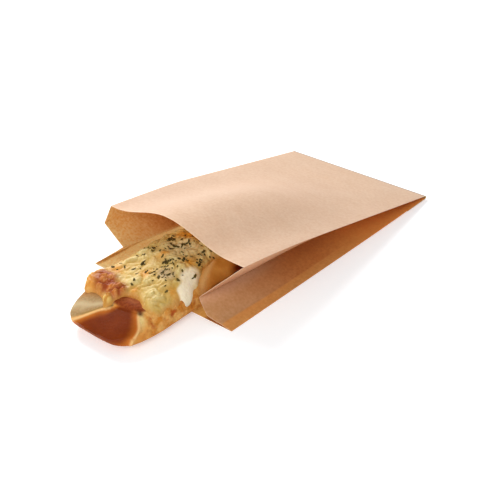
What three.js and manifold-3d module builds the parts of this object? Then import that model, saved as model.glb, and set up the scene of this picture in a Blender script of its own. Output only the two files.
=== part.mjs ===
// A side-gusset kraft paper bag lying on its back panel, its mouth held open by a topped bread roll
// that stands half out of it. Everything is built in the bag's own frame: X across the bag, Y from
// the mouth to the folded end, Z up from the surface that it lies on. The last lines move the
// finished model so that its origin is the middle of its box, at the bottom. Millimetres.

import * as THREE from "three";
import Module from "manifold-3d";

const wasm = await Module();
wasm.setup();

// ---- driving dimensions -------------------------------------------------------------------------

const BAG = {
  width: 150,       // each wide panel, crease to crease
  length: 258,      // mouth edge to the folded end
  paper: 0.8,       // wall of the solid; the real sheet is about 0.1
  endStrip: 29,     // the glued end, folded under the back panel
  creaseInset: 39,  // how far the middle crease of a gusset lies inside the bag's edge at the end
  endTop: 3.2,      // top of the folded end above the surface
  endFloor: 1.7,    // the back panel at the folded end, lifted by the strip under it
  liftStart: 150,   // the back panel lies flat from the mouth to here
};

// Corners of the open mouth, taken round the bag. The back panel's two lie at Y = 0 on the surface.
const MOUTH = {
  kink: new THREE.Vector3(64, 0, 2),             // the right gusset lies flat up to this line
  rightCrease: new THREE.Vector3(42, 1.7, 15.5), // middle crease of the right gusset
  frontRight: new THREE.Vector3(75, 15.9, 47.4),
  frontLeft: new THREE.Vector3(-60, 11.1, 53.8),
  leftBend: new THREE.Vector3(-66.7, 8, 37.3),   // the left gusset is bowed outwards here
  leftCrease: new THREE.Vector3(-44.6, 6, 24.2), // middle crease of the left gusset
};

// The front panel's hump at the mouth. Its centre and width are fractions of the panel's width, and
// from fadeStart to fadeEnd, fractions of the bag's length, it dies away.
const ARCH = { height: 13.7, centre: 0.46, centreInside: 0.55, width: 0.86, fadeStart: 0.3, fadeEnd: 0.82 };

// How far the creases leave the straight line between their ends.
const CREASE = {
  edgeDroop: 3.5,   // the front panel's right edge hangs a little near the mouth
  rightBow: 4.5,    // the right gusset's middle crease bows outwards behind the mouth
  leftDip: 2.6,     // the left gusset's middle crease dips behind the mouth
  foldIn: 0.5,      // a gusset's edge lies this far inside a wide panel's edge
  foldDepth: 0.6,   // and its paper's middle this deep under the panel's outer face
  bendAt: 0.42,     // the left gusset's bow, as a fraction from its upper to its middle crease
};

const ROLL = {
  halfWidth: 35.5,
  halfLength: 90,
  middle: 16,        // the roll's middle, from the mouth
  waist: 12,         // height of its widest line
  crown: 21.3,       // from the waist to the top
  keel: 10.9,        // from the waist to the flat base
  noseOffset: 6,     // the nose lies this far to the right of the bag's middle
  bodyOffset: 4.8,   // and the body this far
  tailLean: 0.045,   // sideways for each millimetre along, past the mouth
};

const TOPPING = {
  gap: 0.35,         // kept clear of the roll that it lies on
  sunk: 1.5,         // the layer starts this deep and is then cut back to the gap
  thickness: 3.2,
  left: -0.88,       // edges, as fractions of the roll's half width
  right: 0.97,
  rightInside: 0.76, // the right edge draws in as the layer runs into the bag
  frontMiddle: -52,  // ends of the layer along Y, in the middle and at its sides
  frontSide: -32,
  backMiddle: 90,
  backSide: 62,
  mound: 4.6,        // height of the browned crags over the rest of the layer
  overhang: 13,      // how far the mound is swollen out over the roll's left edge
};

const HERBS = { count: 46, longest: 4.2, shortest: 2.2, thickness: 1.1, seed: 7 };

const ROWS = 20; // sections along the bag
const SLIVER = 0.02; // faces and edges smaller than this are taken out of a joined solid

// ---- small tools --------------------------------------------------------------------------------

const mix = THREE.MathUtils.lerp;
const clamp = THREE.MathUtils.clamp;
const smooth = THREE.MathUtils.smoothstep;
const bell = (distance, width) => Math.exp(-((distance / width) ** 2));

// A repeatable stream of numbers from 0 to 1.
function randomStream(seed) {
  let state = seed;
  return () => {
    state = (state * 16807) % 2147483647;
    return state / 2147483647;
  };
}

// Soft irregular lumps, about -1 to 1, from waves that don't line up.
function lumps(x, y, size) {
  const a = Math.sin((x * 1.0 + y * 0.35) / size + 1.3) * Math.cos((y * 0.9 - x * 0.4) / size);
  const b = Math.sin((x * 0.6 - y * 1.3) / size * 1.7 + 4.1) * Math.cos((x * 1.2 + y * 0.5) / size);
  return 0.6 * a + 0.55 * b;
}

function geometryFrom(positions, triangles) {
  const geometry = new THREE.BufferGeometry();
  geometry.setAttribute("position", new THREE.Float32BufferAttribute(positions, 3));
  geometry.setIndex(triangles);
  return geometry;
}

function toManifold(positions, triangles) {
  return new wasm.Manifold(new wasm.Mesh({
    numProp: 3,
    vertProperties: new Float32Array(positions),
    triVerts: new Uint32Array(triangles),
  }));
}

// Draws the two ends of every very short edge together, and leaves out the faces that vanish.
function closeShortEdges(positions, triangles, shortest) {
  const merged = Array.from({ length: positions.length / 3 }, (_, i) => i);
  const rootOf = (i) => (merged[i] === i ? i : rootOf(merged[i]));
  const distance = (a, b) => Math.hypot(...[0, 1, 2].map((k) => positions[3 * a + k] - positions[3 * b + k]));
  for (let t = 0; t < triangles.length; t += 3) {
    for (let k = 0; k < 3; k += 1) {
      const a = rootOf(triangles[t + k]);
      const b = rootOf(triangles[t + (k + 1) % 3]);
      if (a !== b && distance(a, b) < shortest) merged[Math.max(a, b)] = Math.min(a, b);
    }
  }
  const kept = [];
  for (let t = 0; t < triangles.length; t += 3) {
    const [a, b, c] = [0, 1, 2].map((k) => rootOf(triangles[t + k]));
    if (a !== b && b !== c && c !== a) kept.push(a, b, c);
  }
  return kept;
}

// The geometry of a joined solid, without the slivers and loose specks that the joining leaves.
function fromManifold(solid) {
  const bodies = solid.decompose().sort((a, b) => b.volume() - a.volume());
  let positions = [];
  let triangles = [];
  let [body] = bodies;
  for (let pass = 0; pass < 3; pass += 1) {
    const mesh = body.asOriginal().simplify(SLIVER).getMesh();
    positions = Array.from(mesh.vertProperties);
    triangles = closeShortEdges(positions, Array.from(mesh.triVerts), SLIVER);
    body = toManifold(positions, triangles);
  }
  return geometryFrom(positions, triangles);
}

// Closes the space between two grids of points, rows along the bag and columns across it: outer is
// seen from outside with its columns running anticlockwise round the bag, as seen from the mouth.
function solidBetween(outer, inner) {
  const rows = outer.length;
  const columns = outer[0].length;
  const positions = [...outer.flat(), ...inner.flat()].flatMap((p) => [p.x, p.y, p.z]);
  const at = (side, row, column) => side * rows * columns + row * columns + column;
  const triangles = [];
  const quad = (a, b, c, d) => triangles.push(a, b, c, a, c, d);
  for (let i = 0; i < rows - 1; i += 1) {
    for (let j = 0; j < columns - 1; j += 1) {
      quad(at(0, i, j), at(0, i + 1, j), at(0, i + 1, j + 1), at(0, i, j + 1));
      quad(at(1, i, j), at(1, i, j + 1), at(1, i + 1, j + 1), at(1, i + 1, j));
    }
  }
  const last = columns - 1;
  for (let i = 0; i < rows - 1; i += 1) {
    quad(at(0, i, 0), at(1, i, 0), at(1, i + 1, 0), at(0, i + 1, 0));
    quad(at(0, i + 1, last), at(1, i + 1, last), at(1, i, last), at(0, i, last));
  }
  for (let j = 0; j < last; j += 1) {
    quad(at(0, 0, j), at(0, 0, j + 1), at(1, 0, j + 1), at(1, 0, j));
    quad(at(1, rows - 1, j), at(1, rows - 1, j + 1), at(0, rows - 1, j + 1), at(0, rows - 1, j));
  }
  return toManifold(positions, triangles);
}

// Moves each row of points inwards, to the left of the way that its columns run, by a thickness.
// Where the row bends, the joint is mitred, so that the wall keeps its thickness.
function insetRow(row, thickness) {
  const normalOf = (from, to) => {
    const length = Math.hypot(to.x - from.x, to.z - from.z);
    return new THREE.Vector3(-(to.z - from.z) / length, 0, (to.x - from.x) / length);
  };
  return row.map((point, j) => {
    const before = j > 0 ? normalOf(row[j - 1], point) : normalOf(point, row[j + 1]);
    const after = j < row.length - 1 ? normalOf(point, row[j + 1]) : before;
    const mean = before.clone().add(after).normalize();
    return point.clone().addScaledVector(mean, thickness / Math.max(0.5, mean.dot(before)));
  });
}

// A wall of paper from the lines that cross it, each for a fraction of the bag's length: the lines
// lie in its outer face, or with sunk set to half the thickness, in the middle of the paper.
function paperWall(rowAt, sunk = 0) {
  const rows = [];
  for (let i = 0; i <= ROWS; i += 1) rows.push(rowAt(i / ROWS));
  return solidBetween(
    rows.map((row) => insetRow(row, -sunk)),
    rows.map((row) => insetRow(row, BAG.paper - sunk)),
  );
}

// Points along a chain of corners, with some extra ones between each pair.
function chain(corners, steps) {
  const row = [corners[0].clone()];
  for (let k = 1; k < corners.length; k += 1) {
    for (let s = 1; s <= steps; s += 1) {
      row.push(corners[k - 1].clone().lerp(corners[k], s / steps));
    }
  }
  return row;
}

// ---- the bag's creases, from the mouth (0) to the folded end (1) --------------------------------

const halfWidth = BAG.width / 2;
const creaseEnd = halfWidth - BAG.creaseInset;
const frontRise = MOUTH.frontRight.z + CREASE.edgeDroop - BAG.endTop;
const frontSlope = frontRise / (BAG.length - MOUTH.frontRight.y);

function floorAt(y) {
  const lifted = clamp((y - BAG.liftStart) / (BAG.length - BAG.liftStart), 0, 1);
  return BAG.endFloor * lifted ** 2;
}

const along = (start, v) => mix(start.y, BAG.length, v);
const frontHeight = (y) => BAG.endTop + frontSlope * (BAG.length - y);

function backCrease(side, v) {
  const y = v * BAG.length;
  return new THREE.Vector3(side * halfWidth, y, floorAt(y));
}

function kinkLine(v) {
  const y = along(MOUTH.kink, v);
  const x = mix(MOUTH.kink.x, 65.5, smooth(v, 0, 0.25));
  const aboveFloor = mix(MOUTH.kink.z, BAG.paper * 1.4, smooth(v, 0, 0.35));
  return new THREE.Vector3(x, y, floorAt(y) + mix(aboveFloor, BAG.paper, v));
}

function rightCrease(v) {
  const y = along(MOUTH.rightCrease, v);
  const bow = CREASE.rightBow * Math.sin(Math.PI * Math.min(1, v * 1.6));
  const z = mix(MOUTH.rightCrease.z, (BAG.endTop + BAG.endFloor) / 2, v);
  return new THREE.Vector3(mix(MOUTH.rightCrease.x, creaseEnd, v) + bow, y, z);
}

function leftCrease(v) {
  const y = along(MOUTH.leftCrease, v);
  const dip = CREASE.leftDip * Math.sin(Math.PI * Math.min(1, v * 2.2));
  const z = mix(MOUTH.leftCrease.z, (BAG.endTop + BAG.endFloor) / 2, v) - dip;
  return new THREE.Vector3(mix(MOUTH.leftCrease.x, -creaseEnd, v), y, z);
}

function frontRightCrease(v) {
  const y = along(MOUTH.frontRight, v);
  const droop = CREASE.edgeDroop * clamp(1 - v * 3, 0, 1) ** 2;
  return new THREE.Vector3(halfWidth, y, frontHeight(y) - droop);
}

function frontLeftCrease(v) {
  const y = along(MOUTH.frontLeft, v);
  const inwards = (halfWidth + MOUTH.frontLeft.x) * clamp(1 - v / 0.4, 0, 1) ** 1.5;
  const lift = MOUTH.frontLeft.z - frontHeight(MOUTH.frontLeft.y);
  const z = frontHeight(y) + lift * clamp(1 - v / 0.3, 0, 1) ** 2;
  return new THREE.Vector3(-halfWidth + inwards, y, z);
}

// The outward bow of the left gusset, which is gone a third of the way in.
function leftBend(v) {
  const straight = (at) => frontLeftCrease(at).lerp(leftCrease(at), CREASE.bendAt);
  const bow = MOUTH.leftBend.clone().sub(straight(0));
  return straight(v).addScaledVector(bow, 1 - smooth(v, 0, 0.35));
}

// The front panel between its creases: a hump over the mouth that dies away towards the end.
function frontRow(v) {
  const right = frontRightCrease(v);
  const left = frontLeftCrease(v);
  const steps = 22;
  const height = ARCH.height * (1 - smooth(v, ARCH.fadeStart, ARCH.fadeEnd));
  const centre = mix(ARCH.centre, ARCH.centreInside, smooth(v, 0, 0.5));
  const row = [];
  for (let s = 0; s <= steps; s += 1) {
    const fromLeft = 1 - s / steps;
    const away = clamp(Math.abs(fromLeft - centre) / (ARCH.width / 2), 0, 1);
    const point = right.clone().lerp(left, s / steps);
    point.z += height * 0.5 * (1 + Math.cos(Math.PI * away));
    row.push(point);
  }
  return row;
}

// ---- the bag: one folded sheet ------------------------------------------------------------------

function backPanel() {
  return paperWall((v) => chain([backCrease(-1, v), backCrease(1, v)], 4));
}

// From a wide panel's crease to the edge of the gusset that is folded under it.
const foldedIn = (side, upwards) => new THREE.Vector3(-side * CREASE.foldIn, 0, upwards * CREASE.foldDepth);

function rightGusset() {
  return paperWall((v) => chain([
    backCrease(1, v).add(foldedIn(1, 1)),
    kinkLine(v),
    rightCrease(v),
    frontRightCrease(v).add(foldedIn(1, -1)),
  ], 2), BAG.paper / 2);
}

function leftGusset() {
  return paperWall((v) => chain([
    frontLeftCrease(v).add(foldedIn(-1, -1)),
    leftBend(v),
    leftCrease(v),
    backCrease(-1, v).add(foldedIn(-1, 1)),
  ], 2), BAG.paper / 2);
}

// A flat block between two rows of corners, for the places where the layers are glued together.
function gluedBlock(yNear, yFar, lower, upper) {
  const row = (y, z) => [new THREE.Vector3(-halfWidth, y, z), new THREE.Vector3(halfWidth, y, z)];
  const ends = [yNear, yFar];
  return solidBetween(ends.map((y) => row(y, lower(y))), ends.map((y) => row(y, upper(y))));
}

function paperBag() {
  const endBand = gluedBlock(
    BAG.length - 7, BAG.length - 0.1,
    (y) => floorAt(y) + 0.2,
    (y) => frontHeight(y) - 0.2,
  );
  const endStrip = gluedBlock(
    BAG.length - BAG.endStrip, BAG.length,
    (y) => mix(0, BAG.endFloor - BAG.paper, (y - BAG.length + BAG.endStrip) / BAG.endStrip),
    (y) => floorAt(y) + 0.4,
  );
  return backPanel()
    .add(rightGusset())
    .add(paperWall(frontRow))
    .add(leftGusset())
    .add(endBand)
    .add(endStrip);
}

// ---- the bread roll -----------------------------------------------------------------------------

// The roll's middle line, half width and heights at a distance along the bag.
function rollSection(y) {
  const t = clamp((y - ROLL.middle) / ROLL.halfLength, -1, 1);
  const lean = ROLL.tailLean * Math.max(0, y - 30);
  return {
    middle: mix(ROLL.noseOffset, ROLL.bodyOffset, smooth(y, -70, 0)) + lean,
    half: ROLL.halfWidth * (1 - Math.abs(t) ** 5) ** 0.2,
    crown: ROLL.crown * (1 - t ** 2) ** 0.9,
    keel: ROLL.keel * (1 - t ** 6) ** (1 / 3),
  };
}

const ROUND_TOP = 2.6;   // powers of the section's curves: higher is squarer
const FLAT_BASE = 5;

function rollTop(x, y) {
  const { middle, half, crown } = rollSection(y);
  const across = clamp(Math.abs(x - middle) / half, 0, 1);
  return ROLL.waist + crown * (1 - across ** ROUND_TOP) ** (1 / ROUND_TOP);
}

// The uncut crust of the front end stands up in a lip where the slit for the filling begins.
function crustLip(x, y) {
  const lipY = -45.5 + 5 * ((x - 17) / 15) ** 2 * (x < 17 ? -1 : 0.3);
  const edge = smooth(x, -3, 5) * (1 - smooth(x, 27, 33));
  return 2.4 * edge * (y > lipY ? bell(y - lipY, 2.2) : bell(y - lipY, 7));
}

// Two ridges part the smooth front crust from the paler sides.
function crustRidges(x, y, z) {
  const left = bell((x + 16) * 0.5 - (z - 10), 1.6) * smooth(-y, 52, 58) * smooth(-x, -6, 4);
  const right = bell(x - 33 + (z - 5) * 0.2, 2.4) * smooth(-y, 44, 50) * smooth(z, 4, 8);
  return 0.9 * left + right;
}

// The whole roll, or with grow above 0 the space that its neighbours keep clear of.
function breadRoll(grow) {
  const stations = 30;
  const around = 36;
  const positions = [];
  const pole = (sign) => {
    const y = ROLL.middle + sign * (ROLL.halfLength + grow);
    positions.push(rollSection(y).middle, y, ROLL.waist - 3);
  };
  const curved = (value, power) => Math.sign(value) * Math.abs(value) ** (2 / power);
  pole(-1);
  for (let i = 1; i < stations; i += 1) {
    const y = ROLL.middle - ROLL.halfLength * Math.cos(Math.PI * i / stations);
    const { middle, half, crown, keel } = rollSection(y);
    for (let k = 0; k < around; k += 1) {
      const angle = 2 * Math.PI * k / around;
      const up = Math.sin(angle) >= 0;
      const power = up ? ROUND_TOP : FLAT_BASE;
      const x = middle + (half + grow) * curved(Math.cos(angle), power);
      const z = ROLL.waist + ((up ? crown : keel) + grow) * curved(Math.sin(angle), power);
      const relief = up ? crustLip(x, y) + crustRidges(x, y, z) : 0;
      positions.push(x, y - relief * 0.4, z + relief);
    }
  }
  pole(1);
  const triangles = [];
  const at = (i, k) => 1 + (i - 1) * around + (k % around);
  const tail = positions.length / 3 - 1;
  for (let k = 0; k < around; k += 1) {
    triangles.push(0, at(1, k), at(1, k + 1));
    triangles.push(tail, at(stations - 1, k + 1), at(stations - 1, k));
    for (let i = 1; i < stations - 1; i += 1) {
      triangles.push(at(i, k), at(i + 1, k), at(i + 1, k + 1));
      triangles.push(at(i, k), at(i + 1, k + 1), at(i, k + 1));
    }
  }
  return toManifold(positions, triangles);
}

// ---- the topping: melted cheese and sauce, browned in crags at the front, with herb flakes -------

// Where the layer begins and ends along the bag, at a fraction across it.
function toppingSpan(across) {
  const round = Math.sqrt(1 - Math.abs(across) ** 2.5);
  const x = across * ROLL.halfWidth + ROLL.bodyOffset;
  const roomForLip = 13.5 * bell(x - 16, 13);
  const corner = 10 * bell(x + 30, 9); // the mound fills the left corner
  return {
    front: mix(TOPPING.frontSide, TOPPING.frontMiddle, round) + roomForLip - corner,
    back: mix(TOPPING.backSide, TOPPING.backMiddle, round),
  };
}

// A point of the layer, p across it and q along it: on its underside, or raised to its top.
function toppingPoint(p, q, raised) {
  const span = toppingSpan(mix(-1, 1, p) * 0.97);
  const y = mix(span.front, span.back, q);
  const right = mix(TOPPING.right, TOPPING.rightInside, smooth(y, -5, 30));
  const across = mix(TOPPING.left, right, p);
  const { middle, half } = rollSection(y);
  const x = middle + across * half;
  const base = rollTop(x, y);
  if (!raised) return new THREE.Vector3(x, y, base - TOPPING.sunk);
  const edge = clamp(6 * Math.min(p, 1 - p), 0, 1) * clamp(9 * Math.min(q, 1 - q), 0, 1);
  const browned = bell(Math.hypot(x + 17, (y + 40) * 1.25), 15);
  const overhang = TOPPING.overhang * bell(Math.hypot(x + 27, y + 38), 14) * Math.sqrt(edge);
  const layer = TOPPING.thickness * (0.75 + 0.3 * lumps(x, y, 7));
  const crags = browned * (TOPPING.mound + 1.6 * lumps(x, y, 2.6));
  const height = base + 0.9 + Math.sqrt(edge) * (layer + crags);
  return new THREE.Vector3(x - 0.85 * overhang, y - 0.25 * overhang, height);
}

function toppingLayer() {
  const across = 20;
  const lengthwise = 24;
  const grid = (raised) => {
    const rows = [];
    for (let i = 0; i <= lengthwise; i += 1) {
      const row = [];
      for (let j = 0; j <= across; j += 1) {
        row.push(toppingPoint(1 - j / across, i / lengthwise, raised));
      }
      rows.push(row);
    }
    return rows;
  };
  return solidBetween(grid(true), grid(false));
}

// One flake: a thin, flat crumb of dried leaf with twenty faces, lying half sunk in the cheese.
function herbFlake(centre, length, turn, tilt) {
  const shape = new THREE.IcosahedronGeometry(0.5, 0);
  shape.deleteAttribute("normal");
  shape.deleteAttribute("uv");
  const place = new THREE.Matrix4().compose(
    centre,
    new THREE.Quaternion().setFromEuler(new THREE.Euler(tilt, 0, turn, "ZXY")),
    new THREE.Vector3(length, length * 0.45, HERBS.thickness),
  );
  shape.applyMatrix4(place);
  const source = shape.getAttribute("position");
  const positions = [];
  const triangles = [];
  const seen = new Map();
  for (let i = 0; i < source.count; i += 1) {
    const point = [source.getX(i), source.getY(i), source.getZ(i)];
    const key = point.map((value) => value.toFixed(3)).join(" ");
    if (!seen.has(key)) {
      seen.set(key, positions.length / 3);
      positions.push(...point);
    }
    triangles.push(seen.get(key));
  }
  return toManifold(positions, triangles);
}

function cheeseTopping() {
  const random = randomStream(HERBS.seed);
  let solid = toppingLayer();
  for (let n = 0; n < HERBS.count; n += 1) {
    // The largest come first; they lie thickest over the middle of the layer.
    const length = mix(HERBS.longest, HERBS.shortest, n / HERBS.count);
    const p = 0.52 + 0.36 * (random() + random() - 1);
    const q = 0.14 + 0.52 * random();
    const centre = toppingPoint(p, q, true);
    solid = solid.add(herbFlake(centre, length, Math.PI * random(), 0.3 * (random() - 0.5)));
  }
  return solid.subtract(breadRoll(TOPPING.gap));
}

// ---- the assembled model ------------------------------------------------------------------------

function piece(name, geometry, colour, roughness) {
  const material = new THREE.MeshStandardMaterial({ color: colour, roughness, metalness: 0 });
  geometry.computeVertexNormals();
  const mesh = new THREE.Mesh(geometry, material);
  mesh.name = name;
  return mesh;
}

const model = new THREE.Group();
model.add(piece("paper_bag", fromManifold(paperBag()), 0xd9b08c, 0.85));
model.add(piece("bread_roll", fromManifold(breadRoll(0)), 0xb5692f, 0.45));
model.add(piece("cheese_topping", fromManifold(cheeseTopping()), 0xe6c778, 0.4));

const box = new THREE.Box3().setFromObject(model);
model.position.set(-(box.min.x + box.max.x) / 2, -(box.min.y + box.max.y) / 2, -box.min.z);

export default model;
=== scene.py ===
# %% [markdown]
# # A topped bread roll in a gusseted paper bag
#
# The real thing is a flat bakery bag of brown kraft paper, lying on its back, with a roll pushed
# half into it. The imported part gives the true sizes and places. This script builds the looks round
# it: thin paper instead of a thick wall, a baked crust, melted cheese and dried herbs.

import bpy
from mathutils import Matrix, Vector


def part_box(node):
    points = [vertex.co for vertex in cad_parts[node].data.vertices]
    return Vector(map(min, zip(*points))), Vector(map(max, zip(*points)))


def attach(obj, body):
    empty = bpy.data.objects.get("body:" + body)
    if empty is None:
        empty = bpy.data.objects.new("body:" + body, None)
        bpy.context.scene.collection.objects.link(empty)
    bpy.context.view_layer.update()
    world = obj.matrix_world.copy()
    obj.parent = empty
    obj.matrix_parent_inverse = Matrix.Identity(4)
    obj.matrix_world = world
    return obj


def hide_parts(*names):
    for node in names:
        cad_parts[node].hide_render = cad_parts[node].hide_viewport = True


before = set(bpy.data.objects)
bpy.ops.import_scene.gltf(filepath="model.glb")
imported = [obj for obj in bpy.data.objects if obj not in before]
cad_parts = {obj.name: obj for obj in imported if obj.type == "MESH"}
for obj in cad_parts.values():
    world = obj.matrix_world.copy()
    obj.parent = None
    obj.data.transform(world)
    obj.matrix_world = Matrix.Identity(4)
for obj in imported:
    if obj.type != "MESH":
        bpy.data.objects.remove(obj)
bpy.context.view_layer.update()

# %% [markdown]
# ## The bag's own frame
#
# A bag is easiest to describe from its mouth. So shapes are worked out in millimetres from the
# middle of the mouth's lower edge: X across the bag, Y towards its folded end and Z up.

# %% Libraries, and the bag's own frame
import math

import bpy
import numpy as np
from mathutils import Matrix, Vector, noise
from mathutils.bvhtree import BVHTree

MM = 0.001
bag_low, bag_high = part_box("paper_bag")
MOUTH_MIDDLE = np.array([(bag_low.x + bag_high.x) / 2, bag_low.y, 0.0])
print("the mouth's middle lies at", MOUTH_MIDDLE.round(4))


def to_frame(points):
    """Points in the bag's millimetres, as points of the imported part's frame in metres."""
    return np.asarray(points, float) * MM + MOUTH_MIDDLE


# %% [markdown]
# ## Small tools
#
# Shapes here are formulas over arrays of points, so a few curves are enough: a smooth step from 0
# to 1 between two values, a fade from 1 to 0, a bell, a round spot and soft noise. The noise is
# Blender's own, the same on every run. Each use reads it at its own shift, so no patterns match.

# %% Curves and noise


def mix(a, b, t):
    return a + (b - a) * t


def smooth(value, start, end):
    t = np.clip((value - start) / (end - start), 0, 1)
    return t * t * (3 - 2 * t)


def fade(value, start, end):
    return 1 - smooth(value, start, end)


def bell(distance, width):
    return np.exp(-((distance / width) ** 2))


def spot(x, y, place, size, squeeze=(1, 1)):
    """A soft round spot, 1 at its place. squeeze makes it narrower in X and in Y."""
    return bell(np.hypot((x - place[0]) * squeeze[0], (y - place[1]) * squeeze[1]), size)


def field(points, size, shift, octaves=2):
    """Soft noise, about -1 to 1, at each point: its blobs are about size millimetres wide."""
    flat = np.asarray(points, float).reshape(-1, 3) / size + shift
    values = [noise.fractal(Vector(p), 1.0, 2.0, octaves) for p in flat]
    return np.array(values).reshape(np.asarray(points).shape[:-1])


# %% [markdown]
# ## Meshes from grids
#
# Every large piece is a grid of points, bent into shape. That gives clean quads of even size, and
# each point can carry a value such as "how browned", which the material reads. So no sculpting or
# remeshing is needed.

# %% Grid meshes that carry values


def grid_faces(rows, columns, start=0, flip=False):
    i, j = np.meshgrid(np.arange(rows - 1), np.arange(columns - 1), indexing="ij")
    a = start + i * columns + j
    quads = np.stack([a, a + 1, a + columns + 1, a + columns], -1).reshape(-1, 4)
    return quads[:, ::-1] if flip else quads


def ring_faces(rows, columns):
    """Faces of a grid that closes on itself, where the last column meets the first again."""
    quads = grid_faces(rows, columns + 1, flip=True)
    return (quads // (columns + 1)) * columns + (quads % (columns + 1)) % columns


def make_piece(name, points, faces, values=None):
    """A smooth-shaded mesh object. values holds a number for each point, by name."""
    mesh = bpy.data.meshes.new(name)
    mesh.from_pydata(to_frame(points).tolist(), [], [[int(k) for k in face] for face in faces])
    for key, numbers in (values or {}).items():
        attribute = mesh.attributes.new(key, "FLOAT", "POINT")
        attribute.data.foreach_set("value", np.asarray(numbers, np.float32).ravel())
    mesh.shade_smooth()
    piece = bpy.data.objects.new(name, mesh)
    bpy.context.scene.collection.objects.link(piece)
    print(name, "has", len(mesh.vertices), "points and", len(mesh.polygons), "faces")
    return piece


# %% [markdown]
# ## Colours and nodes
#
# Colours are written as the sRGB values that a paint program shows, and one function turns them
# into the linear ones that Blender mixes. Another adds any node to a material, with its settings
# and the links into it, so that a material reads from top to bottom.

# %% Colour and node helpers


def srgb(code):
    """A hex colour such as "d9b08c", as linear red, green, blue and alpha."""
    parts = [int(code[k:k + 2], 16) / 255 for k in (0, 2, 4)]
    return tuple(c / 12.92 if c <= 0.04045 else ((c + 0.055) / 1.055) ** 2.4 for c in parts) + (1.0,)


def add_node(tree, kind, settings=None, links=None):
    """Adds a node. settings names its properties, or its inputs by name or number; links names
    the inputs and what feeds each of them."""
    node = tree.nodes.new(kind)
    for key, value in (settings or {}).items():
        if isinstance(key, int) or key in node.inputs:
            node.inputs[key].default_value = value
        else:
            setattr(node, key, value)
    for key, source in (links or {}).items():
        tree.links.new(source, node.inputs[key])
    return node


def new_material(name):
    material = bpy.data.materials.new(name)
    material.use_nodes = True
    material.node_tree.nodes.clear()
    print("material:", name)
    return material, material.node_tree


MIX_SOCKETS, MIX_RESULT = (0, 6, 7), 2  # where a mix node keeps its factor and its colours


def blend_colours(tree, factor, first, second):
    """Mixes two colours. Each may be a hex code or the output of another node."""
    node = add_node(tree, "ShaderNodeMix", {"data_type": "RGBA"})
    for number, value in zip(MIX_SOCKETS, (factor, first, second)):
        if isinstance(value, str):
            node.inputs[number].default_value = srgb(value)
        elif isinstance(value, (int, float)):
            node.inputs[number].default_value = value
        else:
            tree.links.new(value, node.inputs[number])
    return node.outputs[MIX_RESULT]


def pattern(tree, size, low, high, detail, stretch=(1, 1, 1)):
    """Noise with blobs of that size in millimetres, spread so that low..high becomes 0..1."""
    place = add_node(tree, "ShaderNodeTexCoord").outputs["Object"]
    scaled = add_node(tree, "ShaderNodeMapping", {"Scale": stretch}, {"Vector": place})
    source = add_node(
        tree, "ShaderNodeTexNoise",
        {"Scale": 1 / (size * MM), "Detail": detail}, {"Vector": scaled.outputs[0]},
    )
    spread = add_node(
        tree, "ShaderNodeMapRange",
        {"From Min": low, "From Max": high}, {"Value": source.outputs["Fac"]},
    )
    return spread.outputs[0]


def value_of(tree, name):
    return add_node(tree, "ShaderNodeAttribute", {"attribute_name": name}).outputs["Fac"]


def paint_layers(tree, colour, layers):
    """Paints layers over the colour, each as far as the mesh value of its name says. A layer has
    one paint, or a pattern and the two paints that it mixes."""
    for name, *paint in layers:
        if len(paint) > 1:
            paint = [blend_colours(tree, *paint)]
        colour = blend_colours(tree, value_of(tree, name), colour, *paint)
    return colour


def arithmetic(tree, operation, first, second):
    node = add_node(tree, "ShaderNodeMath", {"operation": operation, "use_clamp": True})
    for socket, value in zip(node.inputs, (first, second)):
        if isinstance(value, (int, float)):
            socket.default_value = value
        else:
            tree.links.new(value, socket)
    return node.outputs[0]


# %% [markdown]
# ## Camera
#
# The angle was solved from the bag's own folded corners: the camera looks down by 31 degrees, from
# the front right, and leans 2 degrees. It stands 0.8 m away with a short telephoto lens, as for a
# small product on a table. A camera looks along its own -Z, so its axes are built one by one.

# %% Camera
CAMERA_PLACE = (492.0, -434.9, 434.0)
CAMERA_HEADING = math.radians(-42.319)
CAMERA_PITCH = math.radians(31.219)
CAMERA_LEAN = math.radians(-2.0)
LENS = 73.11

ahead = Vector((
    math.cos(CAMERA_PITCH) * math.sin(CAMERA_HEADING),
    math.cos(CAMERA_PITCH) * math.cos(CAMERA_HEADING),
    -math.sin(CAMERA_PITCH),
))
level = ahead.cross(Vector((0, 0, 1))).normalized()
upright = level.cross(ahead)
right = math.cos(CAMERA_LEAN) * level + math.sin(CAMERA_LEAN) * upright
up = -math.sin(CAMERA_LEAN) * level + math.cos(CAMERA_LEAN) * upright
camera_data = bpy.data.cameras.new("camera")
camera_data.lens = LENS
camera = bpy.data.objects.new("camera", camera_data)
bpy.context.scene.collection.objects.link(camera)
camera.matrix_world = Matrix.Translation(Vector(to_frame(CAMERA_PLACE))) @ Matrix(
    (right, up, -ahead)
).transposed().to_4x4()
bpy.context.scene.camera = camera
print("camera at", [round(c, 3) for c in camera.location])

# %% [markdown]
# ## Floor and light
#
# Shop pictures of this kind are taken on a light table: white acrylic, lit from below too, so that
# hardly any shadow shows. So the floor has a glow of its own, and the sky stands for the white
# walls of a light tent. One large lamp at the back left shades the paper and shines through it
# into the bag, and a weaker one stands in front. The plain "Standard" view keeps white paper white.

# %% Floor and light
FLOOR_SIZE = 8000.0
LAMP_SIZE = 600.0  # soft boxes, more than twice as wide as the bag is long
BACK_POWER, FRONT_POWER = 18.0, 7.0
SKY_STRENGTH = 0.5
TABLE_GLOW = 0.36


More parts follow.
